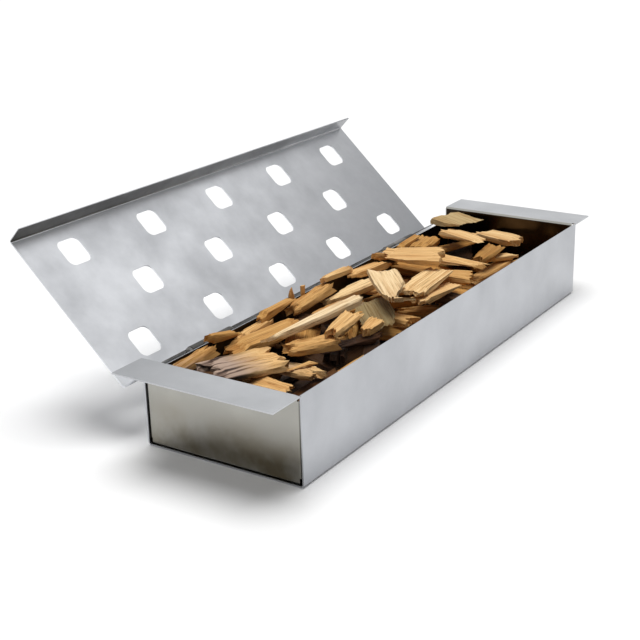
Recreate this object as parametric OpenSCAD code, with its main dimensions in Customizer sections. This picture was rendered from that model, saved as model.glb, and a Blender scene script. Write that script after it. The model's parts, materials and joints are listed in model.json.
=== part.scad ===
// Grill smoker box: a folded sheet-steel tray with an out-turned flange at each
// end, a perforated lid on two rolled hinges, and the wood chips that it burns.
// Frame: X along the length, Y from the front wall to the hinge wall, Z up.
// The origin is the centre of the tray's underside. Sizes are in millimetres.

/* [Sheet] */
// Thickness of the folded steel sheet
sheet = 0.7; // [0.5:0.05:1.2]
// Inside radius of every fold
fold_radius = 1; // [0.6:0.1:2]

/* [Tray] */
// Length of the tray without its end flanges
tray_length = 305; // [220:1:400]
// Width across the outer faces of the front and rear walls
tray_width = 90; // [70:1:130]
// Height from the underside to the rim
tray_height = 45; // [40:0.5:70]
// How far each end flange stands out past the tray
flange_reach = 21; // [12:0.5:40]
// How far each end wall sits inside the tray's cut ends
end_inset = 0.5; // [0.2:0.1:3]
// Length of the folded tabs that are welded inside the tray
tab_length = 11; // [6:0.5:20]
// Gap between a welded tab and the sheet it lies on
tab_gap = 0.05; // [0:0.01:0.2]

/* [Lid] */
// Length of the lid
lid_length = 303; // [200:1:400]
// Depth of the lips along the lid's front and rear edges
lip_depth = 10.5; // [8:0.5:13]
// Gap between a lip and the wall that it covers
lip_gap = 1; // [0.8:0.1:2]
// Gap between the closed lid and the rim
rim_gap = 0.3; // [0.2:0.1:1]
// How far the rear lip reaches down past the top of the lower rear wall
lip_lap = 0.5; // [0.3:0.1:5]
// How far the rear lip stops short of the lid's ends
lip_inset = 4; // [1:0.5:10]
// Angle that the lid stands open at rest, measured from closed
lid_open = 136.5; // [90:0.5:185]

/* [Vents] */
// Width of a square vent
vent_size = 15.5; // [8:0.5:22]
// Corner radius of a vent
vent_radius = 4; // [1:0.5:6]
// Distance between vents along a row
vent_pitch = 60.4; // [40:0.2:80]
// Distance between the rows
row_pitch = 29.6; // [20:0.2:40]
// Vents in the front row and the rear row; the middle row has one fewer
vents_per_row = 5; // [3:1:7]

/* [Hinges] */
// Distance from the middle of the lid to each hinge
hinge_offset = 96; // [40:1:130]
// Depth of the pin below the rim
hinge_drop = 11.6; // [11:0.1:14]
// Diameter of the hinge pin
pin_diameter = 4; // [2:0.1:5]
// Running clearance round the pin
pin_clearance = 0.05; // [0.02:0.01:0.1]
// Length of the knuckle on the tray's hinge leaf
leaf_knuckle = 14; // [8:0.5:30]
// Length of each of the two lid knuckles beside it
lid_knuckle = 9; // [5:0.5:20]
// End gap between neighbouring knuckles
knuckle_gap = 0.3; // [0.1:0.05:1]
// Thickness of a pin's peened head
pin_head = 0.9; // [0.5:0.1:2]
// Width of the leaf's riveted pad
leaf_width = 34; // [28:1:60]
// Height of the leaf's riveted pad
leaf_height = 12; // [9:0.5:14]
// Height of the step that lifts the leaf off the wall
leaf_step = 2.5; // [1.5:0.1:3]
// Straight length between the step and the underside of the knuckle
leaf_neck = 1.8; // [1.2:0.1:3]
// Diameter of a rivet's shank
rivet_diameter = 3; // [2:0.1:4]
// Distance between the two rivets of a leaf
rivet_pitch = 22; // [14:0.5:40]
// Height of a rivet's outer head
rivet_head = 1.2; // [0.6:0.1:2]

/* [Wood chips] */
// Shortest chip of the heap
chip_length_min = 28; // [15:1:40]
// Longest chip of the heap, and of the layers under it
chip_length_max = 68; // [45:1:90]
// Narrowest chip of the heap
chip_width_min = 9; // [5:0.5:12]
// Widest chip of the heap, and of the layers under it
chip_width_max = 20.5; // [14:0.5:30]
// Thinnest chip of the heap
chip_thickness_min = 3; // [2:0.1:4]
// Thickest chip of the heap
chip_thickness_max = 6; // [4.5:0.1:9]
// Packed layers under the heap
chip_layers = 3; // [1:1:3]
// Thickness of a packed layer
layer_thickness = 5; // [4:0.5:9]
// Most that a chip of the heap is turned away from the tray's length, in degrees
chip_turn = 34; // [10:1:45]
// Further turn of the chips that lie across, in degrees
cross_turn = 50; // [30:1:60]
// Share of the heap's chips that lie across
cross_share = 0.2; // [0:0.05:0.5]
// Most that a chip under the top ones slopes, in degrees
chip_slope = 6; // [0:1:15]
// Chips under the top ones, of which those that find no room are left out
heap_chips = 120; // [24:1:160]
// Places that each of them is tried at, to lie at the lowest
heap_tries = 10; // [3:1:20]
// Room above them for the top chips, at the rear wall
top_room = 8; // [6:0.5:14]
// Further room for the top chips at the front wall
front_fall = 14; // [0:0.5:16]
// Depth of the highest chip below the rim
chip_headroom = 1.2; // [0.5:0.1:10]
// Width of the strip along the front wall that is filled less high
front_room = 22; // [15:1:40]
// Depth of the chips below the rim in that strip
front_depth = 15; // [8:1:25]
// Gap between the chips and the steel
chip_gap = 0.6; // [0.3:0.1:3]
// Gap under a chip that lies on another
chip_seat = 0.05; // [0.02:0.01:0.2]

/* [Hidden] */
$fn = 96;
bend = fold_radius + sheet;

// End walls, measured on the +X end
end_x = tray_length / 2 - end_inset;
tab_y = tray_width / 2 - sheet - tab_gap;
tab_z = sheet + tab_gap;
end_half = tab_y - bend;

// Hinge: the pin's centre, the bore and the outside of a knuckle
bore_r = pin_diameter / 2 + pin_clearance;
knuckle_r = bore_r + sheet;
lip_y = tray_width / 2 + lip_gap;
hinge_y = lip_y + knuckle_r;
hinge_z = tray_height - hinge_drop;
lid_top = tray_height + rim_gap + sheet;
lid_width = 2 * (lip_y + sheet);
lip_z = lid_top - lip_depth;
rear_top = lip_z + lip_lap;
leaf_top = hinge_z - knuckle_r - leaf_neck;
leaf_bottom = leaf_top - leaf_step - leaf_height;
rivet_z = leaf_bottom + leaf_height / 2;
lug_x = leaf_knuckle / 2 + knuckle_gap;
pin_half = lug_x + lid_knuckle + knuckle_gap;

// Wood chips: the space they fill, and the levels of the packed layers and the heap
fill_x = end_x - sheet - chip_gap;
floor_x = end_x - bend - tab_length - chip_gap;
fill_y = tab_y - sheet - chip_gap;
heap_z = sheet + chip_layers * layer_thickness;
fill_top = tray_height - chip_headroom;
front_top = tray_height - front_depth;
front_y = front_room - fill_y;
chip_rows = ceil(2 * fill_y / chip_width_max);

// The series of values that cut the chips' corners, and the sine below which two directions count as one
outline_series = 10;
least = 0.0001;

// The top chips, in the order that they were laid: place along and across as shares of the space, turn, slope and
// bank in degrees, length, width and thickness
top_chips = [
    [-0.82, -0.16,  88,   3,  -4, 28, 14, 5],
    [-0.34, -0.30, -20,   2,  -6, 36,  9, 4],
    [ 0.19, -0.34,  -2,   2,  -4, 46, 13, 4],
    [ 0.41, -0.25, -80,  -3,   4, 26, 13, 5],
    [ 0.76, -0.34, -30,   4,   0, 26,  8, 3],
    [ 0.67,  0.84,  10,   2,   6, 32, 13, 5],
    [-0.09, -0.05,  48,  -3,  -3, 40, 22, 3.5],
    [-0.66, -0.02, -84,   3,  -5, 42, 16, 4],
    [-0.84,  0.88,   2,  -2, -12, 40, 10, 5],
    [-0.49,  0.68,  -6,  -2,   6, 58, 14, 5],
    [-0.79,  0.24, -18,   4,   6, 46, 25, 4],
    [-0.53, -0.07, -26,   3,   4, 32, 12, 5],
    [-0.20,  0.42, -12,   3,   6, 32, 12, 4],
    [-0.25, -0.27,  15,   3,   4, 26,  8, 4],
    [-0.38, -0.16,  12,  -4,   3, 36, 11, 4],
    [ 0.06,  0.68,  -6,   0,   5, 50, 10, 4],
    [-0.15,  0.86,   3,  -3,  -8, 44, 11, 5],
    [ 0.22, -0.12,  10,   1,  -3, 54, 19, 4],
    [ 0.70, -0.19,   6,  -4,   4, 34, 12, 4],
    [ 0.76,  0.30,  72,   3,   5, 40, 15, 4],
    [ 0.90, -0.04,  88,  -3,   5, 32, 22, 4],
    [ 0.56,  0.02,  78,   4,   3, 46, 12, 4],
    [ 0.24,  0.86,  -5,   3,  -6, 40, 11, 4],
    [ 0.40,  0.44, -76,  -5,   4, 40, 26, 4],
    [ 0.04,  0.06,  44,  -6,   3, 48, 19, 3.5],
    [ 0.90,  0.66,  78,   3,   6, 24, 26, 4],
    [-0.40,  0.17,  -4,  -2,   0, 82,  7, 4]];
flatter = [1, 0.6, 0.3, 0];

// A repeatable value between low and high for item i of series s
function pick(low, high, i, s) = rands(low, high, 1, 1000 * s + i)[0];

// A chip's own three directions after its bank, slope and turn, and half its span in direction m
function directions(t) =
    let (r = t[0], p = t[1], a = t[2])
    [[cos(a) * cos(p), sin(a) * cos(p), -sin(p)],
     [cos(a) * sin(p) * sin(r) - sin(a) * cos(r), sin(a) * sin(p) * sin(r) + cos(a) * cos(r), cos(p) * sin(r)],
     [cos(a) * sin(p) * cos(r) + sin(a) * sin(r), sin(a) * sin(p) * cos(r) - cos(a) * sin(r), cos(p) * cos(r)]];
function span(c, m) = c[2] * [for (n = c[1]) abs(n * m)];

// A chip near x, y, inside the walls and behind low_y: its middle, directions, half sizes, reach and turns
function placed(x, y, low_y, turns, size) =
    let (c = [[0, 0, 0], directions(turns), size / 2],
         reach = [span(c, [1, 0, 0]), span(c, [0, 1, 0]), span(c, [0, 0, 1])])
    [[max(reach.x - fill_x, min(fill_x - reach.x, x)), max(reach.y + low_y, min(fill_y - reach.y, y)),
      heap_z + chip_seat + reach.z], c[1], c[2], reach, turns];

// How far chip b is lifted to lie on chip a. Two blocks are clear of each other if they are in the direction of a
// face of either one, or of a line square to an edge of both, so the least such lift is enough.
function lift(a, b) =
    let (apart = a[0] - b[0],
         ways = concat(a[1], b[1], [for (p = a[1], q = b[1]) cross(p, q)]),
         spans = [for (m = ways) if (norm(m) > least) [m * apart, span(a, m) + span(b, m), m.z]],
         beside = [for (s = spans) if (abs(s[2]) < least && abs(s[0]) >= s[1]) s],
         over = [for (s = spans) if (abs(s[2]) >= least) (s[0] * sign(s[2]) + s[1]) / abs(s[2])],
         under = [for (s = spans) if (abs(s[2]) >= least) (s[0] * sign(s[2]) - s[1]) / abs(s[2])])
    len(beside) > 0 || min(over) <= max(under) ? 0 : max(0, min(over) + chip_seat);

// Chip c let down on the chips that lie already
function lowered(lying, c) =
    let (up = max(concat([0], [for (a = lying)
             if (abs(a[0].x - c[0].x) < a[3].x + c[3].x && abs(a[0].y - c[0].y) < a[3].y + c[3].y) lift(a, c)])))
    [c[0] + [0, 0, up], c[1], c[2], c[3], c[4]];

// An irregular outline that fills most of a cell of the given size
function outline(length, width, i, s) =
    let (a = [for (c = [0 : 7]) pick(0, 1, 8 * i + c, s)], x = length / 2, y = width / 2)
    [[-x + 0.1 * length * a[0], -y + 0.1 * width * a[1]], [x - 0.14 * length * a[2], -y],
     [x, -y + width * (0.3 + 0.3 * a[3])], [x - 0.12 * length * a[4], y - 0.1 * width * a[5]],
     [-x + 0.16 * length * a[6], y], [-x, y - width * (0.25 + 0.35 * a[7])]];

// Chip c with the i-th outline: its corners about its middle, its edges' directions and its faces' directions
function cut(c, i) =
    let (flat = outline(2 * c[2].x, 2 * c[2].y, i, outline_series),
         sides = [for (k = [0 : len(flat) - 1]) flat[(k + 1) % len(flat)] - flat[k]])
    concat(c, [
        [for (p = flat, h = [-1, 1]) [p.x, p.y, h * c[2].z] * c[1]],
        concat([c[1][2]], [for (e = sides) [e.x, e.y, 0] / norm(e) * c[1]]),
        concat([c[1][2]], [for (e = sides) [e.y, -e.x, 0] / norm(e) * c[1]])]);

// How far cut chip b is above cut chip a, or undef where it is beside it
function room(a, b) =
    let (apart = a[0] - b[0],
         ways = concat(a[7], b[7], [for (p = a[6], q = b[6]) cross(p, q)]),
         spans = [for (m = ways) if (norm(m) > least)
             let (p = a[5] * m, q = b[5] * m, d = m * apart) [d + max(p) - min(q), d + min(p) - max(q), m.z]],
         beside = [for (s = spans) if (abs(s[2]) < least && (s[0] <= 0 || s[1] >= 0)) s],
         over = [for (s = spans) if (abs(s[2]) >= least) s[s[2] > 0 ? 0 : 1] / s[2]],
         under = [for (s = spans) if (abs(s[2]) >= least) s[s[2] > 0 ? 1 : 0] / s[2]])
    len(beside) > 0 || min(over) <= max(under) ? undef : -min(over);

// Chip c cut to its outline and let down until that touches
function seated(lying, c) =
    let (b = cut(c, len(lying)),
         rooms = [for (a = lying)
             if (abs(a[0].x - c[0].x) < a[3].x + c[3].x && abs(a[0].y - c[0].y) < a[3].y + c[3].y) room(a, b)],
         down = min(concat(
             [b[0].z + min([for (p = b[5]) p.z]) - heap_z], [for (r = rooms) if (!is_undef(r)) r])) - chip_seat)
    concat([b[0] - [0, 0, down]], [for (n = [1 : len(b) - 1]) b[n]]);

function clears(c, top) = c[0].z + c[3].z <= (c[0].y - c[3].y < front_y - least ? front_top : top);

// Lays chip i and those after it, each at the lowest of its places that leaves room for the top chips
function heap(lying, i) =
    i >= heap_chips ? lying :
    let (size = [pick(chip_length_min, chip_length_max, i, 3), pick(chip_width_min, chip_width_max, i, 4),
                 pick(chip_thickness_min, chip_thickness_max, i, 7)],
         tried = [for (k = [0 : heap_tries - 1])
             let (n = heap_tries * i + k,
                  turn = pick(-1, 1, n, 2),
                  across = pick(0, 1, i, 1) < cross_share ? cross_turn * sign(turn) : 0)
             lowered(lying, placed(
                 pick(-1, 1, n, 5) * fill_x, pick(-1, 1, n, 6) * fill_y, -fill_y,
                 [pick(-1, 1, n, 8) * chip_slope, pick(-1, 1, n, 9) * chip_slope, chip_turn * turn + across],
                 size))],
         fits = [for (c = tried)
             if (clears(c, fill_top - top_room - front_fall * (fill_y - c[0].y) / (2 * fill_y))) c],
         low = min(concat([fill_top], [for (c = fits) c[0].z])))
    heap(len(fits) == 0 ? lying : concat(lying, [seated(lying, [for (c = fits) if (c[0].z == low) c][0])]), i + 1);

// Lays top chip i and those after it, each flatter where it would stand too high
function top(lying, i) =
    i >= len(top_chips) ? lying :
    let (t = top_chips[i],
         fits = [for (f = flatter)
             let (c = seated(lying, lowered(lying, placed(
                 t[0] * fill_x, t[1] * fill_y, front_y, [f * t[4], f * t[3], t[2]], [t[5], t[6], t[7]]))))
             if (clears(c, fill_top)) c])
    top(len(fits) == 0 ? lying : concat(lying, [fits[0]]), i + 1);

chips = top(heap([], 0), 0);
heap_groups = 12;

layer_names = [for (k = [1 : chip_layers]) str("wood_chips_layer_", k)];
heap_names = [for (g = [1 : heap_groups]) str("wood_chips_heap_", g)];

steel = [0.76, 0.77, 0.78];
wood = [0.82, 0.64, 0.40];

// A profile drawn in Y and Z, extruded along X about the middle
module along_x(length) {
    rotate([90, 0, 90]) linear_extrude(height = length, center = true) children();
}

// A profile drawn in X and Z, extruded along Y about the middle
module along_y(length) {
    rotate([90, 0, 0]) linear_extrude(height = length, center = true) children();
}

// A round rod along X about the middle
module rod_x(r, length) {
    rotate([0, 90, 0]) cylinder(r = r, h = length, center = true);
}

// An open-topped outline with two rounded lower corners
module trough(width, height, r) {
    translate([-width / 2, r]) square([width, height - r]);
    translate([-width / 2 + r, 0]) square([width - 2 * r, 2 * r]);
    for (s = [-1, 1]) translate([s * (width / 2 - r), r]) circle(r = r);
}

// A folded sheet with two upright sides
module folded(width, height) {
    difference() {
        trough(width, height, bend);
        translate([0, sheet]) trough(width - 2 * sheet, height, fold_radius);
    }
}

// One side of such a sheet, with its floor from the middle out to the given reach
module bent(reach, height) {
    intersection() {
        folded(2 * reach, height);
        translate([0, -sheet]) square([2 * reach, height + 2 * sheet]);
    }
}

// A square with round corners
module vent() {
    flat = vent_size - 2 * vent_radius;
    square([vent_size, flat], center = true);
    square([flat, vent_size], center = true);
    for (x = [-1, 1], y = [-1, 1]) translate([x, y] * flat / 2) circle(r = vent_radius);
}

// A rolled knuckle with the straight sheet that leads into it from height z
module knuckle(z) {
    difference() {
        union() {
            translate([hinge_y, hinge_z]) circle(r = knuckle_r);
            translate([lip_y, min(z, hinge_z)]) square([sheet, abs(z - hinge_z)]);
        }
        translate([hinge_y, hinge_z]) circle(r = bore_r);
    }
}

// Floor, front wall and lower rear wall in one sheet, drilled for the hinge rivets
module tray_channel() {
    color(steel) difference() {
        along_x(tray_length) difference() {
            folded(tray_width, tray_height);
            translate([0, rear_top]) square([tray_width, tray_height]);
        }
        for (s = [-1, 1]) translate([s * hinge_offset, 0, 0]) rivet_holes();
    }
}

// An end wall's upright sheet down to height z, with the flange that it turns out into on top
module end_upright(z) {
    reach = tray_length / 2 + flange_reach - end_x + sheet;
    translate([end_x - sheet + reach, tray_height]) rotate(180) bent(reach, tray_height - z);
}

// The +X end wall: a tab to the floor, the flange, a tab to each wall, and the ear over the lower rear wall
module end_panel() {
    tab = bend + tab_length;
    relief = 2 * bend;
    ear = tray_width / 2 - end_half + sheet;
    color(steel) {
        along_y(2 * end_half) {
            translate([end_x - tab, tab_z]) bent(tab, tray_height - tab_z - relief);
            end_upright(tab_z + relief);
        }
        translate([0, (tray_width - ear) / 2, 0]) along_y(ear) end_upright(rear_top + tab_gap);
        translate([end_x + fold_radius, -tray_width / 2, tray_height - sheet])
            cube([tray_length / 2 + flange_reach - end_x - fold_radius, tray_width, sheet]);
        difference() {
            translate([0, 0, tab_z + relief]) linear_extrude(height = tray_height - tab_z - 2 * relief)
                translate([end_x, 0]) rotate(90) folded(2 * tab_y, tab);
            translate([end_x - 2 * tab, end_half, rear_top - tab_gap]) cube([4 * tab, tray_width, tray_height]);
        }
    }
}

module end_panel_right() {
    end_panel();
}

module end_panel_left() {
    mirror([1, 0, 0]) end_panel();
}

// The vents of all three rows, seen from above the closed lid
module vents() {
    for (row = [-1 : 1]) {
        count = row == 0 ? vents_per_row - 1 : vents_per_row;
        for (i = [0 : count - 1])
            translate([(i - (count - 1) / 2) * vent_pitch, row * row_pitch]) vent();
    }
}

// The lid as it lies on the tray: panel, two lips and the hinge knuckles
module lid_closed() {
    difference() {
        union() {
            along_x(lid_length) translate([0, lid_top]) mirror([0, 1]) folded(lid_width, lip_depth);
            for (s = [-1, 1], k = [-1, 1])
                translate([s * hinge_offset + k * (lug_x + lid_knuckle / 2), 0, 0])
                    along_x(lid_knuckle) knuckle(lip_z + sheet);
        }
        translate([0, 0, tray_height]) linear_extrude(height = lid_top) vents();
        for (s = [-1, 1]) {
            translate([s * hinge_offset - lug_x, lip_y - sheet, 0])
                cube([2 * lug_x, 3 * sheet, hinge_z + knuckle_r + 2 * knuckle_gap]);
            translate([s * lid_length / 2 - lip_inset, lip_y - sheet, 0])
                cube([2 * lip_inset, 3 * sheet, lid_top - bend]);
        }
    }
}

module lid() {
    color(steel)
        translate([0, hinge_y, hinge_z]) rotate([-lid_open, 0, 0])
            translate([0, -hinge_y, -hinge_z]) lid_closed();
}

// Riveted pad on the rear wall, stepped out to the lip's plane and rolled round the pin
module hinge_leaf() {
    wall_y = tray_width / 2;
    color(steel) difference() {
        union() {
            along_x(leaf_width) translate([wall_y, leaf_bottom]) square([sheet, leaf_height]);
            along_x(leaf_knuckle) {
                polygon([
                    [wall_y, leaf_top - leaf_step - sheet], [wall_y + sheet, leaf_top - leaf_step - sheet],
                    [wall_y + sheet, leaf_top - leaf_step], [lip_y + sheet, leaf_top - sheet / 2],
                    [lip_y + sheet, leaf_top + sheet], [lip_y, leaf_top + sheet],
                    [lip_y, leaf_top], [wall_y, leaf_top - leaf_step + sheet / 2]]);
                knuckle(leaf_top);
            }
        }
        rivet_holes();
    }
}

module hinge_leaf_left() {
    translate([-hinge_offset, 0, 0]) hinge_leaf();
}

module hinge_leaf_right() {
    translate([hinge_offset, 0, 0]) hinge_leaf();
}

// The pin with both ends peened over
module hinge_pin() {
    head_r = knuckle_r - sheet / 4;
    color(steel) translate([0, hinge_y, hinge_z]) {
        rod_x(pin_diameter / 2, 2 * pin_half);
        for (s = [-1, 1])
            translate([s * pin_half, 0, 0]) rotate([0, s * 90, 0])
                rotate_extrude() polygon([
                    [0, 0], [head_r, 0], [head_r, pin_head / 2],
                    [pin_diameter / 2.6, pin_head], [0, pin_head]]);
    }
}

module hinge_pin_left() {
    translate([-hinge_offset, 0, 0]) hinge_pin();
}

module hinge_pin_right() {
    translate([hinge_offset, 0, 0]) hinge_pin();
}

// Places its children at a leaf's two rivets, with Z pointing out of the rear wall
module at_rivets() {
    for (s = [-1, 1])
        translate([s * rivet_pitch / 2, tray_width / 2, rivet_z]) rotate([-90, 0, 0]) children();
}

module rivet_holes() {
    at_rivets() cylinder(d = rivet_diameter + 2 * pin_clearance, h = 6 * sheet, center = true);
}

// Two rivets: a domed head on the leaf and a flat head inside the tray
module hinge_rivets() {
    r = rivet_diameter / 2;
    color(steel) at_rivets() rotate_extrude() polygon([
        [0, -2 * sheet], [1.8 * r, -2 * sheet], [1.8 * r, -sheet], [r, -sheet], [r, sheet], [1.9 * r, sheet],
        [1.8 * r, sheet + rivet_head * 0.45], [1.3 * r, sheet + rivet_head * 0.85], [0.6 * r, sheet + rivet_head],
        [0, sheet + rivet_head]]);
}

module hinge_rivets_left() {
    translate([-hinge_offset, 0, 0]) hinge_rivets();
}

module hinge_rivets_right() {
    translate([hinge_offset, 0, 0]) hinge_rivets();
}

module chip(length, width, thickness, i, s) {
    color(wood) linear_extrude(height = thickness) polygon(outline(length, width, i, s));
}

// One packed layer, in rows along the tray whose joints are staggered
module chip_layer(k) {
    reach = k == 1 ? floor_x : fill_x;
    columns = ceil(2 * reach / chip_length_max);
    cell_x = 2 * reach / columns;
    cell_y = 2 * fill_y / chip_rows;
    for (j = [0 : chip_rows - 1]) {
        split = (k + j) % 2;
        cells = columns + split;
        for (i = [0 : cells - 1]) {
            from = max(-reach, (i - split / 2) * cell_x - reach);
            to = min(reach, (i + 1 - split / 2) * cell_x - reach);
            translate([(from + to) / 2, (j + 0.5) * cell_y - fill_y, sheet + (k - 1) * layer_thickness])
                chip(to - from - chip_gap, cell_y - chip_gap, layer_thickness, chip_rows * i + j, outline_series + k);
        }
    }
}

// The g-th share of the heap's chips, in the order that they were laid
module chip_group(g) {
    for (i = [0 : len(chips) - 1])
        if (floor(i * heap_groups / len(chips)) == g - 1)
            translate(chips[i][0]) rotate(chips[i][4]) translate([0, 0, -chips[i][2].z])
                chip(2 * chips[i][2].x, 2 * chips[i][2].y, 2 * chips[i][2].z, i, outline_series);
}

tray_channel();
end_panel_left();
end_panel_right();
lid();
hinge_leaf_left();
hinge_leaf_right();
hinge_pin_left();
hinge_pin_right();
hinge_rivets_left();
hinge_rivets_right();
for (k = [1 : chip_layers]) chip_layer(k);
for (g = [1 : heap_groups]) chip_group(g);
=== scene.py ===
# %% [markdown]
# # A smoker box for a grill
# The real box is a tray folded from thin stainless sheet, with a vented lid that swings back on two hinges.
# It is filled with dry wood chips, and their smoke leaves through the square vents. The steel comes from
# CAD with its true folds, so here it only gets its finish. CAD draws the chips as plain flat blocks, so the
# chips are what is modelled here.

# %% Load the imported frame
import json
import math
import random

import bpy
import numpy as np
from mathutils import Euler, Matrix, Vector


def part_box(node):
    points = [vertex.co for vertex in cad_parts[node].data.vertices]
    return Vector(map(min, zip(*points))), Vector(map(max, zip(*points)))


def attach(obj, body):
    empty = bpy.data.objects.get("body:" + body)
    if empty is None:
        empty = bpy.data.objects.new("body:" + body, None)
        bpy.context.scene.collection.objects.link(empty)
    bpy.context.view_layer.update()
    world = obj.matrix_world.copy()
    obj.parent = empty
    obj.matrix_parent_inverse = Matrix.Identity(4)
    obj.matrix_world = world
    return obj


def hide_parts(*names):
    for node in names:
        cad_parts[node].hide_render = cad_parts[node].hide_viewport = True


MM = 0.001
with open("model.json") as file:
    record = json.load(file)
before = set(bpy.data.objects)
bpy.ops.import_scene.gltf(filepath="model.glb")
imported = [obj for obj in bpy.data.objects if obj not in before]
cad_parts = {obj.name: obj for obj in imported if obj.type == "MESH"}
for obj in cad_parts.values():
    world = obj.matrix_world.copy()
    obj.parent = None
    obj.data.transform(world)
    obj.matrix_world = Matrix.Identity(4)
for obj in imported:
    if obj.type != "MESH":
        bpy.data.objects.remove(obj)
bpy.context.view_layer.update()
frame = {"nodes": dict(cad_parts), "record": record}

# %% [markdown]
# ## Camera
# A long lens looks down on the near end of the tray from its front left. The angles and the distance were
# found by fitting the tray's corners and the lid's vents, so the camera is written as those angles and a
# place, and not aimed by hand. The small roll is real: the picture leans a little.

# %% Camera
AZIMUTH, ELEVATION, ROLL = -0.9818, 0.3525, -0.0290
CAMERA_AT = Vector((-0.5629, -0.3303, 0.2635))
LENS, SENSOR = 70.97, 36

back = Vector((
    math.sin(AZIMUTH) * math.cos(ELEVATION),
    -math.cos(AZIMUTH) * math.cos(ELEVATION),
    math.sin(ELEVATION)))
right = Vector((math.cos(AZIMUTH), math.sin(AZIMUTH), 0))
up = back.cross(right)
level = Matrix((right, up, back)).transposed()
bpy.ops.object.camera_add()
camera = bpy.context.object
camera.name = "camera"
camera.matrix_world = Matrix.Translation(CAMERA_AT) @ (level @ Matrix.Rotation(ROLL, 3, "Z")).to_4x4()
camera.data.lens = LENS
camera.data.sensor_width = SENSOR
bpy.context.scene.camera = camera
print("camera distance in mm:", round(CAMERA_AT.length / MM))

# %% [markdown]
# ## Helpers for materials
# Colours are written as sRGB hex values, as a colour picker shows them, and Blender wants them linear. One
# helper adds a node, with its settings, the stops of a colour ramp and what goes into each socket. Most
# nodes have one output that matters, and it is their first, so a node may be given for its first output.

# %% Helpers for materials
def linear(colour):
    """Linear RGBA of an sRGB hex colour."""
    parts = [int(colour[i : i + 2], 16) / 255 for i in (1, 3, 5)]
    return [c / 12.92 if c <= 0.04045 else ((c + 0.055) / 1.055) ** 2.4 for c in parts] + [1]


def add(tree, kind, inputs=None, stops=(), **settings):
    """Adds a node. Each input is a value, another node's output, or a node, which gives its first output."""
    made = tree.nodes.new("ShaderNode" + kind)
    for name, value in settings.items():
        setattr(made, name, value)
    for name, value in (inputs or {}).items():
        value = value.outputs[0] if isinstance(value, bpy.types.Node) else value
        if isinstance(value, bpy.types.NodeSocket):
            tree.links.new(value, made.inputs[name])
        else:
            made.inputs[name].default_value = value
    for n, (place, colour) in enumerate(stops):
        stop = made.color_ramp.elements[n] if n < 2 else made.color_ramp.elements.new(place)
        stop.position = place
        stop.color = linear(colour)
    return made


def new_material(name):
    """A node material with no nodes yet."""
    material = bpy.data.materials.new(name)
    material.use_nodes = True
    material.node_tree.nodes.clear()
    return material


def dress(piece, material):
    """Gives a piece one material."""
    piece.data.materials.clear()
    piece.data.materials.append(material)


# %% [markdown]
# ## Painted shade on the steel
# The sheet is darkened in a few places: painted shade, where it lies in shade and where it mirrors dark
# things. The marks could be painted on a picture, but each has a plain place, so each is a function that
# finds it in the CAD frame and changes the grey there. All of them take the same things, and give back the
# grey and the gloss. Both ends of the box are alike, so they are found together, by how far out they are
# from the middle of its length.

# %% Helpers for the marks
WALL_X, WALL_HALF = 151.7 * MM, 0.7 * MM


def parted(tree, place):
    """A place's x, y and z, and out, its distance from the middle of the length."""
    parts = add(tree, "SeparateXYZ", {"Vector": place}).outputs
    out = add(tree, "Math", {0: parts["X"]}, operation="ABSOLUTE")
    return {"x": parts["X"], "y": parts["Y"], "z": parts["Z"], "out": out}


def end_wall(tree, at):
    """1 on the end walls and 0 elsewhere."""
    return add(tree, "Math", {0: at["out"], 1: WALL_X, 2: WALL_HALF}, operation="COMPARE")


# %% [markdown]
# The inside of the tray, which is all that lies within its inner faces, is painted a dark brown grey:
# painted shade, for the dark heap that the inner walls mirror. The brown is as cloudy as the steel is.

# %% Painted shade inside the tray
INNER_X, INNER_Y, INNER_Z = 151.4 * MM, 44.4 * MM, 0.6 * MM


def tray_painted_shade(tree, place, cloud, grey, gloss):
    """Brown painted shade between the walls and over the floor."""
    at = parted(tree, place)
    aside = add(tree, "Math", {0: at["y"]}, operation="ABSOLUTE")
    in_x = add(tree, "Math", {0: at["out"], 1: INNER_X}, operation="LESS_THAN")
    in_y = add(tree, "Math", {0: aside, 1: INNER_Y}, operation="LESS_THAN")
    in_z = add(tree, "Math", {0: at["z"], 1: INNER_Z}, operation="GREATER_THAN")
    between = add(tree, "Math", {0: in_x, 1: in_y}, operation="MULTIPLY")
    inside = add(tree, "Math", {0: between, 1: in_z}, operation="MULTIPLY")
    inner_shade = add(tree, "ValToRGB", {"Fac": cloud}, [(0.32, "#2A221B"), (0.68, "#5B5047")])
    return add(tree, "MixRGB", {"Fac": inside, "Color1": grey, "Color2": inner_shade}), gloss


# %% [markdown]
# The end walls are painted a darker warm grey, more in patches towards their feet: painted shade, for the
# shaded floor that they mirror. The flanges above them are duller. The painted shade takes light away,
# so it multiplies the grey.

# %% Painted shade on the end walls
WALL_SHADE, FOOT_SHADE = "#D9D5CA", "#B3A893"
FOOT_SHADE_TOP, FOOT_SHADE_FULL, FOOT_SHADE_LEAST = 30 * MM, 8 * MM, 0.25
FLANGE_X, FLANGE_HAZE = 152.6 * MM, 0.22


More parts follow.
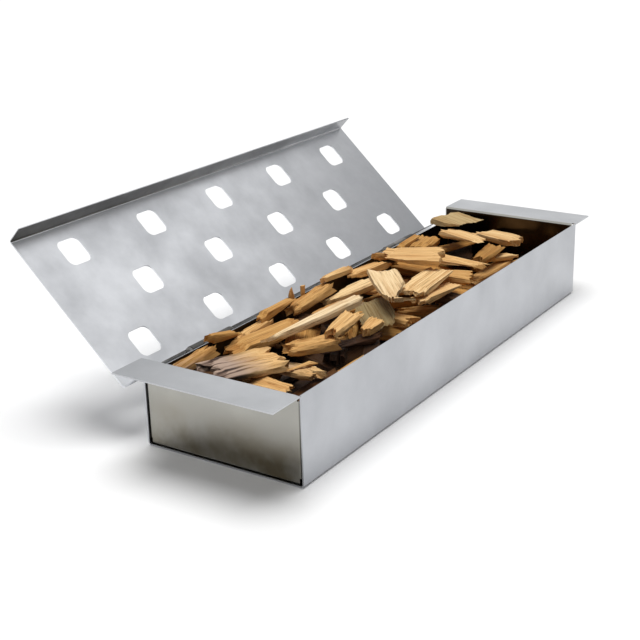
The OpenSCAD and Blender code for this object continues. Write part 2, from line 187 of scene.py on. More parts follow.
def end_shade_and_dull_flange(tree, place, cloud, grey, gloss):
    """Warm painted shade on an end wall, darker in patches towards its foot, and a duller flange."""
    at = parted(tree, place)
    wall = end_wall(tree, at)
    shaded_wall = add(tree, "MixRGB", {
        "Fac": wall, "Color1": grey, "Color2": linear(WALL_SHADE)}, blend_type="MULTIPLY")
    low = add(tree, "MapRange", {"Value": at["z"], "From Min": FOOT_SHADE_TOP, "From Max": FOOT_SHADE_FULL})
    blot = add(tree, "MapRange", {
        "Value": cloud, "From Min": 0.35, "From Max": 0.6, "To Min": FOOT_SHADE_LEAST})
    patch = add(tree, "Math", {0: low, 1: blot}, operation="MULTIPLY")
    shaded_foot = add(tree, "Math", {0: patch, 1: wall}, operation="MULTIPLY")
    shaded_end = add(tree, "MixRGB", {
        "Fac": shaded_foot, "Color1": shaded_wall, "Color2": linear(FOOT_SHADE)}, blend_type="MULTIPLY")
    flange = add(tree, "Math", {0: at["out"], 1: FLANGE_X}, operation="GREATER_THAN")
    dulled = add(tree, "Math", {0: flange, 1: FLANGE_HAZE, 2: gloss}, operation="MULTIPLY_ADD")
    return shaded_end, dulled


# %% [markdown]
# The seam between an end wall and the front wall is painted dark, most of all at its foot: painted shade
# for the gap between the two sheets. The gap is real, but alone it shows more faintly.

# %% Painted shade in the seam
SEAM_FRONT, SEAM_WIDE, SEAM_SHADE = -42.9 * MM, 0.5 * MM, "#2A2723"
SEAM_FADE, SEAM_FULL, SEAM_LEAST = 45 * MM, 12 * MM, 0.35


def seam_painted_shade(tree, place, cloud, grey, gloss):
    """A dark line of painted shade along the front edge of an end wall."""
    at = parted(tree, place)
    front = add(tree, "MapRange", {
        "Value": at["y"], "From Min": SEAM_FRONT, "From Max": SEAM_FRONT - SEAM_WIDE})
    fade = add(tree, "MapRange", {
        "Value": at["z"], "From Min": SEAM_FADE, "From Max": SEAM_FULL, "To Min": SEAM_LEAST})
    edge = add(tree, "Math", {0: front, 1: end_wall(tree, at)}, operation="MULTIPLY")
    seam = add(tree, "Math", {0: edge, 1: fade}, operation="MULTIPLY")
    return add(tree, "MixRGB", {"Fac": seam, "Color1": grey, "Color2": linear(SEAM_SHADE)}), gloss


# %% [markdown]
# Two lips of the lid are painted dark grey as painted shade: the inner face of the one at its free edge,
# which faces down into shade, less so towards the far end, and the outer face of the one along the hinges,
# but not at its ends. The lid is open at rest, so the lips are found along two directions: up its panel and
# out of its face.

# %% Painted shade on the lid's lips
LID_RUN, LID_FACE = (0, 0.725, 0.688), (0, -0.688, 0.725)
LIP_AT, LIP_HALF, LIP_FOOT = 152.7 * MM, 0.6 * MM, -21.1 * MM
HINGED_RUN, LIP_SHADE_END, LIP_SHADE_FULL, FAR_LIP_SHADE = 61.0 * MM, 150 * MM, 125 * MM, 0.45


def lip_painted_shade(tree, place, cloud, grey, gloss):
    """Painted shade on the free lip's inner face and the hinged lip's outer face."""
    at = parted(tree, place)
    run = add(tree, "VectorMath", {0: place, 1: LID_RUN}, operation="DOT_PRODUCT").outputs["Value"]
    rise = add(tree, "VectorMath", {0: place, 1: LID_FACE}, operation="DOT_PRODUCT").outputs["Value"]
    free = add(tree, "Math", {0: run, 1: LIP_AT, 2: LIP_HALF}, operation="COMPARE")
    thin = add(tree, "MapRange", {
        "Value": at["x"], "From Min": -LIP_SHADE_END, "From Max": LIP_SHADE_END, "To Min": 1.0, "To Max": FAR_LIP_SHADE})
    free_lip_shade = add(tree, "Math", {0: free, 1: thin}, operation="MULTIPLY")
    hinged = add(tree, "Math", {0: run, 1: HINGED_RUN}, operation="LESS_THAN")
    amid = add(tree, "MapRange", {"Value": at["out"], "From Min": LIP_SHADE_END, "From Max": LIP_SHADE_FULL})
    hinged_lip_shade = add(tree, "Math", {0: hinged, 1: amid}, operation="MULTIPLY")
    both = add(tree, "Math", {0: free_lip_shade, 1: hinged_lip_shade}, operation="MAXIMUM")
    above = add(tree, "Math", {0: rise, 1: LIP_FOOT}, operation="GREATER_THAN")
    lip = add(tree, "Math", {0: both, 1: above}, operation="MULTIPLY")
    black = add(tree, "ValToRGB", {"Fac": cloud}, [(0.32, "#4A4946"), (0.68, "#6C6B68")])
    return add(tree, "MixRGB", {"Fac": lip, "Color1": grey, "Color2": black}), gloss


# %% [markdown]
# ## Stainless sheet
# The sheet is cold-rolled stainless with a dull mill finish. The rolls leave faint lines along the length,
# and handling leaves cloudy patches a few centimetres wide, which show as soft changes of grey and of
# gloss. A picture could be painted on, but the patches have no outline, so noise in two sizes is enough.
# Real rolling lines are too fine to show, so they are drawn 0.6 mm wide.

# %% Stainless sheet
CLOUD, ROLL_LINE, ROLL_RUN = 26 * MM, 0.6 * MM, 45 * MM


def mill_stainless(name, dark, light, smooth, rough, shade_marks=()):
    """Mill-finished stainless sheet between two greys and two roughnesses, with some painted shade."""
    material = new_material(name)
    tree = material.node_tree
    place = add(tree, "TexCoord").outputs["Object"]
    cloud = add(tree, "TexNoise", {"Vector": place, "Scale": 1 / CLOUD, "Detail": 4.0, "Roughness": 0.55})
    along = add(tree, "Mapping", {"Vector": place, "Scale": (1 / ROLL_RUN, 1 / ROLL_LINE, 1 / ROLL_LINE)})
    lines = add(tree, "TexNoise", {"Vector": along, "Scale": 1.0, "Detail": 2.0})
    grey = add(tree, "ValToRGB", {"Fac": cloud}, [(0.32, dark), (0.68, light)])
    gloss = add(tree, "MapRange", {
        "Value": cloud, "From Min": 0.3, "From Max": 0.7, "To Min": rough, "To Max": smooth})
    # Each of these paints shade into the grey.
    for painted_shade in shade_marks:
        grey, gloss = painted_shade(tree, place, cloud, grey, gloss)
    relief = add(tree, "Bump", {"Height": lines, "Strength": 0.12, "Distance": 0.05 * MM})
    steel = add(tree, "BsdfPrincipled", {
        "Base Color": grey, "Metallic": 1.0, "Roughness": gloss, "Normal": relief})
    add(tree, "OutputMaterial", {"Surface": steel})
    return material


# %% [markdown]
# The tray, the lid and the hinges each have a grey and a gloss of their own, by the material slot that the
# record gives them. The end walls belong to the tray, but theirs is a finish of its own, the smoothest of
# all.

# %% Finish the steel parts
steels = {
    "tray_steel": mill_stainless("mill_stainless_tray", "#B1B3B7", "#BBBDC1", 0.28, 0.36, [tray_painted_shade]),
    "lid_steel": mill_stainless("mill_stainless_lid", "#CBCDD1", "#E3E5E9", 0.34, 0.48, [lip_painted_shade]),
    "hinge_steel": mill_stainless("drawn_stainless_hinge", "#6F6D6A", "#8B8986", 0.34, 0.46),
}
# The end walls also carry painted shade: inside the tray, on their outer faces and along the front seam.
folded_end = mill_stainless(
    "mill_stainless_folded_end", "#BABCBF", "#C5C7CA", 0.18, 0.24, [tray_painted_shade, end_shade_and_dull_flange, seam_painted_shade])
finished = []
for part in frame["record"]["subparts"]:
    if part["material_slot"] in steels:
        finish = folded_end if part["node"].startswith("end_panel") else steels[part["material_slot"]]
        dress(frame["nodes"][part["node"]], finish)
        finished.append(part["node"])
print("steel parts:", finished)

# %% [markdown]
# ## Split wood
# The chips are raw hardwood torn along the grain, dry and quite matt. Long fibres run down each chip, in
# streaks from straw to brown, and a few chips are weathered grey. A pattern in the room's own directions
# would run straight through the heap, but the real one turns with every chip. So each chip carries its own
# coordinates in an attribute called grain, and its own shade in one called tone. A third one, furrow, marks
# where old wood under the bark is grey with dark furrows. Single fibres are too fine to show, so the finest
# streaks are drawn as strands of 0.9 mm.

# %% Split wood
FIBRE, FIBRE_RUN = 0.9 * MM, 34 * MM
BAND, BAND_RUN = 5 * MM, 90 * MM
FURROW, FURROW_RUN = 3.4 * MM, 70 * MM
STREAK_DEPTH, BAND_DEPTH = 0.65, 0.6


def split_wood():
    """Raw split hardwood that follows each chip's own grain and tone."""
    material = new_material("raw_split_hardwood")
    tree = material.node_tree
    grain = add(tree, "Attribute", attribute_name="grain").outputs["Vector"]
    tone = add(tree, "Attribute", attribute_name="tone").outputs["Fac"]
    furrow = add(tree, "Attribute", attribute_name="furrow").outputs["Fac"]

    # Three patterns, each drawn out along the grain
    fibre_place = add(tree, "Mapping", {"Vector": grain, "Scale": (1 / FIBRE_RUN, 1 / FIBRE, 1 / FIBRE)})
    fibres = add(tree, "TexNoise", {
        "Vector": fibre_place, "Scale": 1.0, "Detail": 5.0, "Roughness": 0.62, "Distortion": 0.25})
    band_place = add(tree, "Mapping", {"Vector": grain, "Scale": (1 / BAND_RUN, 1 / BAND, 1 / BAND)})
    bands = add(tree, "TexNoise", {
        "Vector": band_place, "Scale": 1.0, "Detail": 3.0, "Distortion": 0.4})
    furrow_place = add(tree, "Mapping", {"Vector": grain, "Scale": (1 / FURROW_RUN, 1 / FURROW, 1 / FURROW)})
    furrows = add(tree, "TexNoise", {"Vector": furrow_place, "Scale": 1.0, "Detail": 2.0})

    # The colour of the chip, and what each pattern does to it
    # The darkest stops are bark, and on the chips deep in the heap also painted shade.
    shade = add(tree, "ValToRGB", {"Fac": tone}, [
        (0.00, "#1C110A"), (0.15, "#6E4A28"), (0.35, "#C59656"), (0.55, "#E6BA7D"),
        (0.75, "#F3D3A0"), (0.88, "#F9E6C4"), (0.95, "#CBB284"), (1.00, "#94835F")])
    streak = add(tree, "ValToRGB", {"Fac": fibres}, [(0.34, "#7E5F3C"), (0.46, "#E9DAC2"), (0.58, "#FFFFFF")])
    banding = add(tree, "ValToRGB", {"Fac": bands}, [(0.32, "#C29D6E"), (0.50, "#FFFFFF")])
    old = add(tree, "ValToRGB", {"Fac": furrows}, [(0.40, "#1C110D"), (0.47, "#5E4A40"), (0.56, "#B39B8A")])
    streaked = add(tree, "MixRGB", {
        "Fac": STREAK_DEPTH, "Color1": shade, "Color2": streak}, blend_type="MULTIPLY")
    banded = add(tree, "MixRGB", {
        "Fac": BAND_DEPTH, "Color1": streaked, "Color2": banding}, blend_type="MULTIPLY")
    furrowed = add(tree, "MixRGB", {"Fac": furrow, "Color1": banded, "Color2": old})

    relief = add(tree, "Bump", {"Height": fibres, "Strength": 0.7, "Distance": 0.5 * MM})
    timber = add(tree, "BsdfPrincipled", {"Base Color": furrowed, "Roughness": 0.78, "Normal": relief})
    add(tree, "OutputMaterial", {"Surface": timber})
    return material


wood = split_wood()
print("nodes in the wood:", len(wood.node_tree.nodes))

# %% [markdown]
# ## One chip, as a chipper makes it
# A chipper cuts a slice off the end of a log and the slice bursts apart along the grain. So a chip is short
# and broad, its sides follow the grain, its ends are slanted and splintered, and it is a little bent and
# twisted. Each pattern chip starts as a block that is cut into fibres. It may narrow towards one end. The
# ends of every fibre are drawn in or out by its own amount, the edges are thinned, and noise that is
# squeezed along the grain raises the fibres. Last it is twisted and bent, and fitted back to its size, so
# that no splinter sticks out of its block by more than a little. The grain is written down before the
# twist, so the fibres follow the bend.

# %% Helpers for modelling
ALIGNED = 0.9


def deselect():
    """Leaves edit mode with nothing selected."""
    if bpy.context.object and bpy.context.object.mode != "OBJECT":
        bpy.ops.object.mode_set(mode="OBJECT")
    bpy.ops.object.select_all(action="DESELECT")


def pick_vertices(piece, test):
    """Goes into edit mode with only the vertices selected for which the test holds."""
    bpy.ops.object.mode_set(mode="OBJECT")
    for part in (piece.data.polygons, piece.data.edges):
        part.foreach_set("select", [False] * len(part))
    for vertex in piece.data.vertices:
        vertex.select = test(vertex.co)
    bpy.ops.object.mode_set(mode="EDIT")
    bpy.ops.mesh.select_mode(type="VERT")


def pick_edges(piece, axis):
    """Goes into edit mode with only the edges selected that run along one axis."""
    bpy.ops.object.mode_set(mode="EDIT")
    bpy.ops.mesh.select_mode(type="EDGE")
    bpy.ops.mesh.select_all(action="DESELECT")
    bpy.ops.object.mode_set(mode="OBJECT")
    points = piece.data.vertices
    for edge in piece.data.edges:
        run = points[edge.vertices[0]].co - points[edge.vertices[1]].co
        edge.select = abs(run[axis]) > ALIGNED * run.length
    bpy.ops.object.mode_set(mode="EDIT")


def resize_all(value):
    """Resizes the whole mesh in edit mode about the origin."""
    bpy.ops.mesh.select_all(action="SELECT")
    bpy.ops.transform.resize(value=value, center_override=(0, 0, 0))


# %% [markdown]
# The chip is shaped step by step, with a function for each step. A step that draws at random takes its
# values from the chip's own series, so each pattern is the same on every run. Most of the sizes are shares
# of the chip's own.

# %% Steps in shaping a chip
ROOT, REACH, SLANT, TEAR, TEAR_KEPT = 0.12, 0.84, 0.45, 0.16, 0.5
EDGE_AT, EDGE_LEAST, EDGE_MOST = 0.47, 0.3, 0.95
END_AT, END_LEAST, END_MOST = 0.34, 0.35, 0.9
OFF_MIDDLE = 0.4
POINT_STEPS = 8


def splinter_ends(chip, length, width, rows, draw):
    """Slanted, torn ends: each row of fibres is stretched from a line near the middle."""
    fibre = width / (rows + 1)
    for side in (-1, 1):
        root = ROOT * side * length
        slant = draw.uniform(-SLANT, SLANT)
        torn = 0
        for row in range(rows + 2):
            y = row * fibre - width / 2
            torn = TEAR_KEPT * torn + draw.uniform(-TEAR, TEAR)
            reach = min(REACH + slant * y / width + torn, 1.0)
            pick_vertices(chip, lambda co: abs(co.y - y) < fibre / 3 and side * co.x > abs(root))
            bpy.ops.transform.resize(value=(reach, 1, 1), center_override=(root, 0, 0))


def thin_edges(chip, length, width, thickness, draw):
    """Thinner edges and ends, each towards its own height."""
    for side in (-1, 1):
        pick_vertices(chip, lambda co: side * co.y > EDGE_AT * width)
        thin = draw.uniform(EDGE_LEAST, EDGE_MOST)
        middle = draw.uniform(-OFF_MIDDLE, OFF_MIDDLE) * thickness
        bpy.ops.transform.resize(value=(1, 1, thin), center_override=(0, 0, middle))
        pick_vertices(chip, lambda co: side * co.x > END_AT * length)
        thin = draw.uniform(END_LEAST, END_MOST)
        middle = draw.uniform(-OFF_MIDDLE, OFF_MIDDLE) * thickness
        bpy.ops.transform.resize(value=(1, 1, thin), center_override=(0, 0, middle))


def narrow_end(chip, length, width, point, draw):
    """A narrower end towards -X, in short steps."""
    lean = draw.uniform(-OFF_MIDDLE, OFF_MIDDLE) * width
    for n in range(POINT_STEPS):
        near = -n / POINT_STEPS * length / 2
        far = -(n + 1) / POINT_STEPS * length / 2
        pick_vertices(chip, lambda co: far <= co.x < near)
        narrow = 1 - point * (n + 0.5) / POINT_STEPS
        bpy.ops.transform.resize(value=(1, narrow, 1), center_override=(0, lean, 0))


# %% [markdown]
# The raised fibres are even noise on the squeezed chip, which is then drawn out again. The chip is also
# moved for it, so that each pattern meets another part of the noise. After that the grain is written down,
# and the chip is twisted and bent.

# %% Fibres and bend
SQUEEZE = 9
MOST_TWIST, MOST_BEND = 18, 14
fibre_noise = bpy.data.textures.new("fibre_noise", "CLOUDS")
fibre_noise.noise_scale = 2.0 * MM
fibre_noise.noise_depth = 3


def raise_fibres(chip, raised, draw):
    """Ridges along the grain, of the given height."""
    shift = Vector([draw.uniform(-1, 1) for _ in range(3)])
    resize_all((1 / SQUEEZE, 1, 1))
    bpy.ops.transform.translate(value=shift)
    bpy.ops.object.mode_set(mode="OBJECT")
    lift = chip.modifiers.new("fibres", "DISPLACE")
    lift.texture = fibre_noise
    lift.texture_coords = "LOCAL"
    lift.strength = raised
    lift.mid_level = 0.5
    bpy.ops.object.modifier_apply(modifier="fibres")
    bpy.ops.object.mode_set(mode="EDIT")
    bpy.ops.mesh.select_all(action="SELECT")
    bpy.ops.transform.translate(value=-shift)
    resize_all((SQUEEZE, 1, 1))
    bpy.ops.object.mode_set(mode="OBJECT")


def write_grain(chip):
    """Keeps each point's place along the straight chip."""
    points = np.zeros(3 * len(chip.data.vertices), np.float32)
    chip.data.vertices.foreach_get("co", points)
    chip.data.attributes.new("grain", "FLOAT_VECTOR", "POINT").data.foreach_set("vector", points)


def twist_and_bend(chip, draw):
    """Twists a chip about its length and bends it over its width."""
    for method, axis, most in (("TWIST", "X", MOST_TWIST), ("BEND", "Y", MOST_BEND)):
        turn = chip.modifiers.new(method, "SIMPLE_DEFORM")
        turn.deform_method = method
        turn.deform_axis = axis
        turn.angle = math.radians(draw.uniform(-most, most))
        bpy.ops.object.modifier_apply(modifier=method)


# %% [markdown]
# Now the steps are put together. At the end each pattern is fitted to the size that it stands for, a
# quarter thicker because it is bent. Twelve patterns of three kinds, resized and turned over, are enough
# for the repeats not to stand out, and four thin ones with few faces are for the slivers.

# %% Model the pattern chips
BENT, SMOOTH = 1.25, math.radians(32)


def pattern_chip(name, size, cuts, raised, point, seed):
    """A splintered chip along X, about the origin, that narrows towards -X."""
    draw = random.Random(seed)
    length, width, thickness = size
    deselect()
    bpy.ops.mesh.primitive_cube_add(size=1)
    chip = bpy.context.object
    chip.name = name
    bpy.ops.object.mode_set(mode="EDIT")
    resize_all(size)
    for axis in range(3):
        if cuts[axis]:
            pick_edges(chip, axis)
            bpy.ops.mesh.subdivide(number_cuts=cuts[axis])
    splinter_ends(chip, length, width, cuts[1], draw)
    thin_edges(chip, length, width, thickness, draw)
    narrow_end(chip, length, width, point, draw)
    raise_fibres(chip, raised, draw)
    write_grain(chip)
    twist_and_bend(chip, draw)
    points = np.array([v.co for v in chip.data.vertices])
    low, high = Vector(points.min(0)), Vector(points.max(0))
    fit = [a / b for a, b in zip((length, width, BENT * thickness), high - low)]
    bpy.ops.object.mode_set(mode="EDIT")
    bpy.ops.mesh.select_all(action="SELECT")
    bpy.ops.transform.translate(value=-(low + high) / 2)
    resize_all(fit)
    bpy.ops.object.mode_set(mode="OBJECT")
    bpy.ops.object.shade_smooth_by_angle(angle=SMOOTH)
    return chip


CHIP, SLIVER = Vector((50, 15, 4.5)) * MM, Vector((32, 4, 2)) * MM
CHIP_CUTS, SLIVER_CUTS = (15, 10, 1), (6, 1, 0)
patterns = {
    "plain": [pattern_chip(f"plain_{n}", CHIP, CHIP_CUTS, 1.0 * MM, 0.3, 40 + n) for n in range(5)],
    "pointed": [pattern_chip(f"pointed_{n}", CHIP, CHIP_CUTS, 0.9 * MM, 0.75, 50 + n) for n in range(3)],
    "ridged": [pattern_chip(f"ridged_{n}", CHIP, CHIP_CUTS, 2.2 * MM, 0.2, 60 + n) for n in range(4)],
    "sliver": [pattern_chip(f"sliver_{n}", SLIVER, SLIVER_CUTS, 0.6 * MM, 0.5, 70 + n) for n in range(4)],
}
print("faces of a chip and of a sliver:", [len(patterns[k][0].data.polygons) for k in ("plain", "sliver")])

# %% [markdown]
# ## Where the chips lie
# CAD holds every chip as a flat block with an uneven outline of six corners that rests on the others. The
# places could be listed here again, but reading them keeps both models alike. The blocks are read from a
# copy of each node, with its triangles merged into flat faces and split into its loose parts. A block's
# largest face gives its tilt, and its longest edge gives its turn.

# %% Read the places of the chips
MERGED, FLAT = 0.001 * MM, math.radians(1)


def split_copies(node):
    """A copy of a node's mesh, as one selected object for each loose block."""
    deselect()
    copy = node.copy()
    copy.data = node.data.copy()
    bpy.context.collection.objects.link(copy)
    copy.select_set(True)
    bpy.context.view_layer.objects.active = copy
    bpy.ops.object.mode_set(mode="EDIT")
    bpy.ops.mesh.select_all(action="SELECT")
    bpy.ops.mesh.remove_doubles(threshold=MERGED)
    bpy.ops.mesh.dissolve_limited(angle_limit=FLAT)
    bpy.ops.mesh.separate(type="LOOSE")
    bpy.ops.object.mode_set(mode="OBJECT")
    return bpy.context.selected_objects


def blocks(name):
    """Place and size of each loose block of a node, lowest first, with X along it and Z out of its top."""
    found = []
    for block in split_copies(frame["nodes"][name]):
        points = [v.co for v in block.data.vertices]
        top = max(block.data.polygons, key=lambda face: face.area).normal.copy()
        top = top if top.z > 0 else -top
        runs = [points[e.vertices[1]] - points[e.vertices[0]] for e in block.data.edges]
        along = max(runs, key=lambda run: run.length).normalized()
        along = along if along.x > 0 else -along
        axes = Matrix((along, top.cross(along), top))
        spans = np.array([axes @ p for p in points])
        middle = axes.transposed() @ Vector((spans.max(0) + spans.min(0)) / 2)
        found.append((Matrix.Translation(middle) @ axes.transposed().to_4x4(), np.ptp(spans, axis=0)))
    bpy.ops.object.delete()
    return sorted(found, key=lambda block: block[0].translation.z)


LAYER = "wood_chips_layer_3"
UNDER = [f"wood_chips_heap_{n}" for n in range(1, 8)]
TOP = [f"wood_chips_heap_{n}" for n in range(8, 13)]
places = {name: blocks(name) for name in [LAYER, *UNDER, *TOP]}
print("chips read:", {name: len(found) for name, found in places.items()})

# %% [markdown]
# ## Laying the chips
# A shaped chip takes the place, the tilt and the size of its block. A map of heights, with a cell for each
# square millimetre of the tray, keeps the top of what lies already, for the small pieces that come later.
# The thin edges of a chip carry nothing, so they are left out of the map.

# %% Helpers for laying chips
FILL_X, FILL_Y = 150 * MM, 43 * MM
CARRIES, HEAP_SEED = 0.44, 7
FURROW_MIDDLE, FURROW_FALL = 0.65, 2.2
map_x, map_y = np.meshgrid(
    np.arange(-FILL_X, FILL_X + MM / 2, MM), np.arange(-FILL_Y, FILL_Y + MM / 2, MM), indexing="ij")
heights = np.full(map_x.shape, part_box("wood_chips_layer_2")[1].z)
draw = random.Random(HEAP_SEED)


def raise_map(place, size):
    """Draws the top of a chip into the map."""
    along, across, top = (place.col[n].to_3d() for n in range(3))
    middle = place @ Vector((0, 0, size[2] / 2))
    x, y = map_x - middle.x, map_y - middle.y
    z = -(top.x * x + top.y * y) / top.z
    u = along.x * x + along.y * y + along.z * z
    v = across.x * x + across.y * y + across.z * z
    under = (abs(u) < CARRIES * size[0]) & (abs(v) < CARRIES * size[1])
    heights[under] = np.maximum(heights[under], middle.z + z[under])


def lay(kind, size, place, tone, furrowed=0.0, turned=True):
    """A copy of a pattern chip, at its own size and place, with its own grain and tone."""
    pattern = draw.choice(patterns[kind])
    chip = pattern.copy()
    chip.data = pattern.data.copy()
    bpy.context.collection.objects.link(chip)
    scale = [a / b for a, b in zip(size, SLIVER if kind == "sliver" else CHIP)]
    turn = Matrix.Rotation(draw.choice((0, math.pi)), 4, "Z") if turned else Matrix.Identity(4)
    turn = turn @ Matrix.Rotation(draw.choice((0, math.pi)), 4, "X")
    chip.data.transform(place @ turn @ Matrix.Diagonal((*scale, 1)))
    grain = np.zeros(3 * len(chip.data.vertices), np.float32)
    chip.data.attributes["grain"].data.foreach_get("vector", grain)
    grain = grain.reshape(-1, 3) * scale
    old = np.clip(furrowed * (FURROW_MIDDLE - FURROW_FALL * grain[:, 0] / size[0]), 0, 1)
    grain = grain + [draw.uniform(-1, 1) for _ in range(3)]
    chip.data.attributes["grain"].data.foreach_set("vector", grain.astype(np.float32).ravel())
    for name, values in (("tone", np.full(len(grain), tone)), ("furrow", old)):
        shade = chip.data.attributes.new(name, "FLOAT", "POINT")
        shade.data.foreach_set("value", values.astype(np.float32))
    raise_map(place, size)
    return chip


# %% [markdown]
# The looks of the chips deep in the heap are drawn at random. In the near half many of them are dark, along
# the front wall all of them, and so is the near half of the layer under the heap. Their dark tone is bark
# and also painted shade, for the deep shade between the chips.

# %% Lay the chips deep in the heap
DEEP_KINDS = ("plain", "plain", "ridged")
NEAR_HALF, DARK_FRONT = -20 * MM, -10 * MM
FAR_DARK_SHARE, NEAR_DARK_SHARE, FRONT_DARK_SHARE = 0.12, 0.5, 1.0
BARK_AND_SHADE_TONES, PALE_TONES = (0, 0.10), (0.3, 0.6)
laid = {name: [] for name in places}
for name in (LAYER, *UNDER):
    for place, size in places[name]:
        kind = draw.choice(DEEP_KINDS)
        spot = place.translation
        near_chance = NEAR_DARK_SHARE if spot.y > DARK_FRONT else FRONT_DARK_SHARE
        dark_chance = FAR_DARK_SHARE if spot.x > NEAR_HALF else near_chance
        bark_and_shade = spot.x < NEAR_HALF if name == LAYER else draw.random() < dark_chance
        tone = draw.uniform(*(BARK_AND_SHADE_TONES if bark_and_shade else PALE_TONES))
        laid[name].append(lay(kind, size, place, tone))
print("deep chips:", sum(len(chips) for chips in laid.values()))

# %% [markdown]
# Each chip on top has a look of its own, which is listed with its place in mm: its kind, how pale it is,
# from dark bark at 0 to straw at 0.9 and weathered wood at 1, and how far it is furrowed.

# %% Lay the chips on top
TOP_LOOKS = [
    (-127, 37, "ridged", 0.40, 0.4), (-119, 10, "ridged", 0.60, 1.0), (-99, 1, "ridged", 0.66, 1.0),
    (-124, -7, "ridged", 0.56, 0), (-74, 29, "plain", 0.42, 0), (-80, -3, "ridged", 0.48, 0),
    (-57, -7, "plain", 0.58, 0), (-60, 7, "pointed", 0.84, 0), (-51, -10, "ridged", 0.08, 0.4),
    (-38, -12, "plain", 0.55, 0), (-30, 18, "plain", 0.46, 0), (-23, 36, "ridged", 0.46, 0),
    (-14, 1, "plain", 1.00, 0), (6, 3, "pointed", 0.80, 0), (9, 29, "pointed", 0.76, 0),
    (33, -5, "plain", 0.72, 0), (29, -14, "plain", 0.64, 0), (36, 36, "plain", 0.56, 0),
    (60, 19, "plain", 0.60, 0), (62, -7, "plain", 0.46, 0), (84, 3, "ridged", 0.58, 0),
    (101, 34, "ridged", 0.34, 0), (105, -8, "plain", 0.30, 0), (115, 13, "plain", 0.66, 0),
    (115, -11, "plain", 0.68, 0), (136, -2, "plain", 0.70, 0), (135, 28, "plain", 0.96, 0),
]
for name in TOP:
    for place, size in places[name]:
        spot = place.translation / MM
        look = min(TOP_LOOKS, key=lambda row: math.hypot(row[0] - spot.x, row[1] - spot.y))
        kind, tone, furrowed = look[2:]
        laid[name].append(lay(kind, size, place, tone, furrowed, turned=False))
print("mean height of the heap in mm:", round(float(heights.mean()) / MM, 1))

# %% [markdown]
# ## Slivers and splinters
# Between the chips lie thin slivers, which the split log sheds. A run of physics could drop them, but a
# rule gives the same heap every time. Each is tilted so that both its ends meet the map of heights, and let
# down until it touches. It stays below the closed lid, and low along the front wall, as in CAD, and where
# it would lie too high or too steep it isn't laid.

# %% Find where a sliver rests
LID_ROOM, SLIVER_TOP = 44.0 * MM, 37 * MM
FRONT_Y, FRONT_TOP = -21 * MM, 29 * MM


def rest(x, y, turn, size, most, steep):
    """The place where a sliver comes to rest, or None where it would stand too high or too steep."""
    length, thickness = size[0], size[2]
    u = (map_x - x) * math.cos(turn) + (map_y - y) * math.sin(turn)
    v = (map_y - y) * math.cos(turn) - (map_x - x) * math.sin(turn)
    under = (abs(u) < length / 2) & (abs(v) < MM)
    h, u = heights[under], u[under]

    # The outer quarters of its length carry it, and their middles are three quarters of its length apart
    tilt = (h[u > length / 4].max() - h[u < -length / 4].max()) / (0.75 * length)
    low = (h - tilt * u).max()
    top = low + thickness + abs(tilt) * length / 2
    front = y - length / 2 * abs(math.sin(turn))
    if abs(tilt) > steep or top > (FRONT_TOP if front < FRONT_Y else most):
        return None
    tipped = Euler((0, -math.atan(tilt), turn)).to_matrix().to_4x4()
    return Matrix.Translation((x, y, low + thickness / 2)) @ tipped


# %% [markdown]
# Some stouter splinters are laid one by one along the rear wall, each listed with its place, turn, length,
# width and thickness, in mm and degrees. Then come the slivers, at random.

# %% Choose the slivers and splinters
REAR_SPLINTERS = [
    (-72, 39.5, 0, 30, 6, 5), (-51, 39.5, 0, 32, 6, 4), (-98, 39.5, 0, 28, 6, 4),
    (64, 39.5, 2, 34, 6, 4), (92, 39.5, 0, 26, 5, 3), (9, 39.5, 0, 34, 5, 3)]
SLIVERS, SLIVER_SWING = 44, 0.6
SLIVER_LEAST, SLIVER_MOST = (12, 1.2, 0.8), (32, 3, 1.8)
small_pieces = []
for x, y, turn, *size in REAR_SPLINTERS:
    small_pieces.append((x * MM, y * MM, math.radians(turn), [side * MM for side in size]))
for _ in range(SLIVERS):
    size = [draw.uniform(a, b) * MM for a, b in zip(SLIVER_LEAST, SLIVER_MOST)]
    turn = draw.gauss(0, SLIVER_SWING)
    run, rise = size[0] / 2 * abs(math.cos(turn)), size[0] / 2 * abs(math.sin(turn))
    x = draw.uniform(-1, 1) * (FILL_X - run - MM)
    y = draw.uniform(-1, 1) * (FILL_Y - rise - MM)
    small_pieces.append((x, y, turn, size))
print("slivers and splinters to try:", len(small_pieces))

# %% Lay the slivers and splinters
SLIVER_TONES = (0.3, 0.8)
SPLINTER_STEEP, SLIVER_STEEP = 0.45, 0.3
heap = UNDER + TOP
for n, (x, y, turn, size) in enumerate(small_pieces):
    stout = n < len(REAR_SPLINTERS)
    most, steep = (LID_ROOM, SPLINTER_STEEP) if stout else (SLIVER_TOP, SLIVER_STEEP)
    place = rest(x, y, turn, size, most, steep)
    if place:
        kind = "plain" if stout else "sliver"
        laid[heap[n % len(heap)]].append(lay(kind, size, place, draw.uniform(*SLIVER_TONES)))
print("pieces in each node:", [len(chips) for chips in laid.values()])

# %% [markdown]
# Two more slivers stand wedged between a chip and the rear wall. Each is listed with its foot and its tip.

# %% Wedge two slivers
WEDGED = [((-30.0, 42.5, 27), (-33.0, 42.5, 43.6)), ((-21.5, 42.5, 27), (-21.0, 42.5, 42.4))]
WEDGED_WIDE, WEDGED_THICK, WEDGED_TONE = 4.5 * MM, 1.4 * MM, 0.5
for foot, tip in WEDGED:
    foot, tip = Vector(foot) * MM, Vector(tip) * MM
    size = [(tip - foot).length, WEDGED_WIDE, WEDGED_THICK]
    stand = (tip - foot).to_track_quat("X", "Y").to_matrix().to_4x4()
    laid[heap[-1]].append(lay("sliver", size, Matrix.Translation((foot + tip) / 2) @ stand, WEDGED_TONE))
print("pieces in all:", sum(len(chips) for chips in laid.values()))

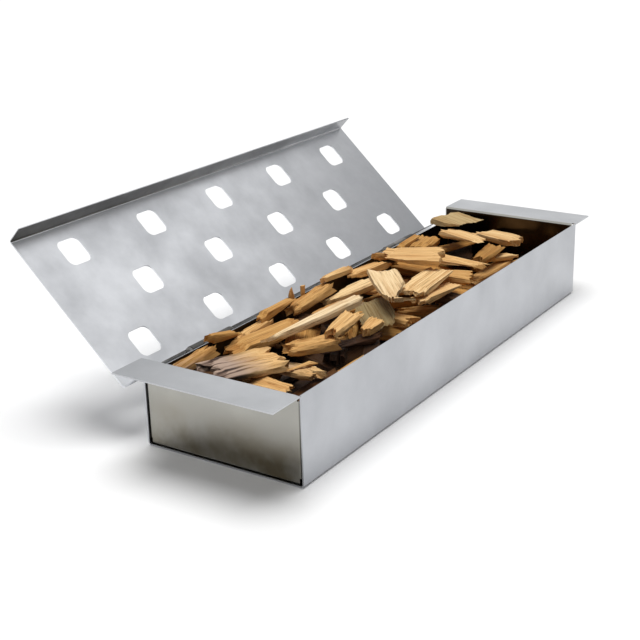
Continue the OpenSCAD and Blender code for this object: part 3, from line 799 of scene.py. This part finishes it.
# %% [markdown]
# Each node's chips are joined into one piece that stands for the node. The two layers under them are out of
# sight, so their CAD blocks stay and only take the wood. They have no tone of their own, so they are as
# dark as bark: painted shade, for the deep shade under the heap.

# %% Join the chips
highest = 0
for name, chips in laid.items():
    deselect()
    for chip in chips:
        chip.select_set(True)
    bpy.context.view_layer.objects.active = chips[0]
    bpy.ops.object.join()
    piece = bpy.context.object
    piece.name = name.replace("wood_chips", "split_chips")
    dress(piece, wood)
    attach(piece, "tray")
    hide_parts(name)
    highest = max(highest, *(v.co.z for v in piece.data.vertices))
for name in ("wood_chips_layer_1", "wood_chips_layer_2"):
    dress(frame["nodes"][name], wood)
for pattern in sum(patterns.values(), []):
    bpy.data.objects.remove(pattern)
print("highest chip in mm:", round(highest / MM, 1))

# %% [markdown]
# ## Studio
# The box stands on a white sweep. The sweep and the sky are white to the eye and to the metal, but neither
# may flood the box with light. So a ray that looks at them, straight or in a mirror, finds them brighter
# than the light that they send out.

# %% Helper for the studio
def looked_at(tree):
    """1 for a ray that looks, from the camera, off metal or through glass, and 0 for other light."""
    ray = add(tree, "LightPath").outputs
    mirrored = add(tree, "Math", {0: ray["Is Camera Ray"], 1: ray["Is Glossy Ray"]}, operation="MAXIMUM")
    return add(tree, "Math", {0: mirrored, 1: ray["Is Transmission Ray"]}, operation="MAXIMUM")


# %% Floor
GLOW, FLOOR_RADIUS, FLOOR_DROP = 0.06, 6, 0.2 * MM
deselect()
bpy.ops.mesh.primitive_circle_add(
    vertices=96, radius=FLOOR_RADIUS, fill_type="NGON", location=(0, 0, -FLOOR_DROP))
floor = bpy.context.object
floor.name = "floor"
sweep = new_material("white_sweep")
tree = sweep.node_tree
paint = add(tree, "BsdfDiffuse", {"Color": linear("#F4F4F4")})
glow = add(tree, "Emission", {"Color": linear("#FFFFFF"), "Strength": GLOW})
glowing = add(tree, "AddShader", {0: paint, 1: glow})
shown = add(tree, "MixShader", {"Fac": looked_at(tree), 1: paint, 2: glowing})
add(tree, "OutputMaterial", {"Surface": shown})
dress(floor, sweep)
print("floor radius in m:", FLOOR_RADIUS)

# %% [markdown]
# Steel that mirrors nothing but white looks like grey paint, so a dark card stands at the right, outside
# the picture. Only the metal sees it, and it shades the lid towards its far end.

# %% Dark card
CARD_X, CARD_LOW, CARD_HIGH = 1.3, Vector((-1.6, 0.18)), Vector((0.12, 0.90))
deselect()
bpy.ops.mesh.primitive_plane_add(size=1, rotation=(0, math.radians(-90), 0))
card = bpy.context.object
card.name = "dark_card"
bpy.ops.object.transform_apply(location=False, rotation=True, scale=False)
card.scale = (1, *(CARD_HIGH - CARD_LOW))
card.location = (CARD_X, *(CARD_HIGH + CARD_LOW) / 2)
bpy.ops.object.transform_apply()
black_felt = new_material("black_felt")
felt = add(black_felt.node_tree, "BsdfDiffuse", {"Color": linear("#262626")})
add(black_felt.node_tree, "OutputMaterial", {"Surface": felt})
dress(card, black_felt)
card.visible_camera = card.visible_diffuse = card.visible_shadow = False
print("card in m:", [round(side, 2) for side in card.dimensions])

# %% [markdown]
# One broad lamp hangs high at the right and a little behind, so the near end falls into shade. A small lamp
# would give its shadow a hard edge, but this one's shadow is dark at the wall and fades out. It is a sun,
# so only the way that it shines matters, and not how far off it is.

# %% World and lamp
SKY_LIGHT, KEY_LIGHT = 0.2, 2.95
KEY_RUN, KEY_SPREAD = Vector((-0.20, -0.08, -0.977)), math.radians(46)
world = bpy.data.worlds.new("white_studio")
bpy.context.scene.world = world
world.use_nodes = True
tree = world.node_tree
tree.nodes.clear()
strength = add(tree, "MapRange", {"Value": looked_at(tree), "To Min": SKY_LIGHT, "To Max": 1.0})
sky = add(tree, "Background", {"Color": linear("#FFFFFF"), "Strength": strength})
add(tree, "OutputWorld", {"Surface": sky})

bpy.ops.object.light_add(type="SUN", location=-KEY_RUN)
key = bpy.context.object
key.name = "key_lamp"
key.rotation_euler = KEY_RUN.to_track_quat("-Z", "Y").to_euler()
key.data.angle = KEY_SPREAD
key.data.energy = KEY_LIGHT
key.visible_glossy = False
bpy.context.scene.view_settings.view_transform = "Standard"
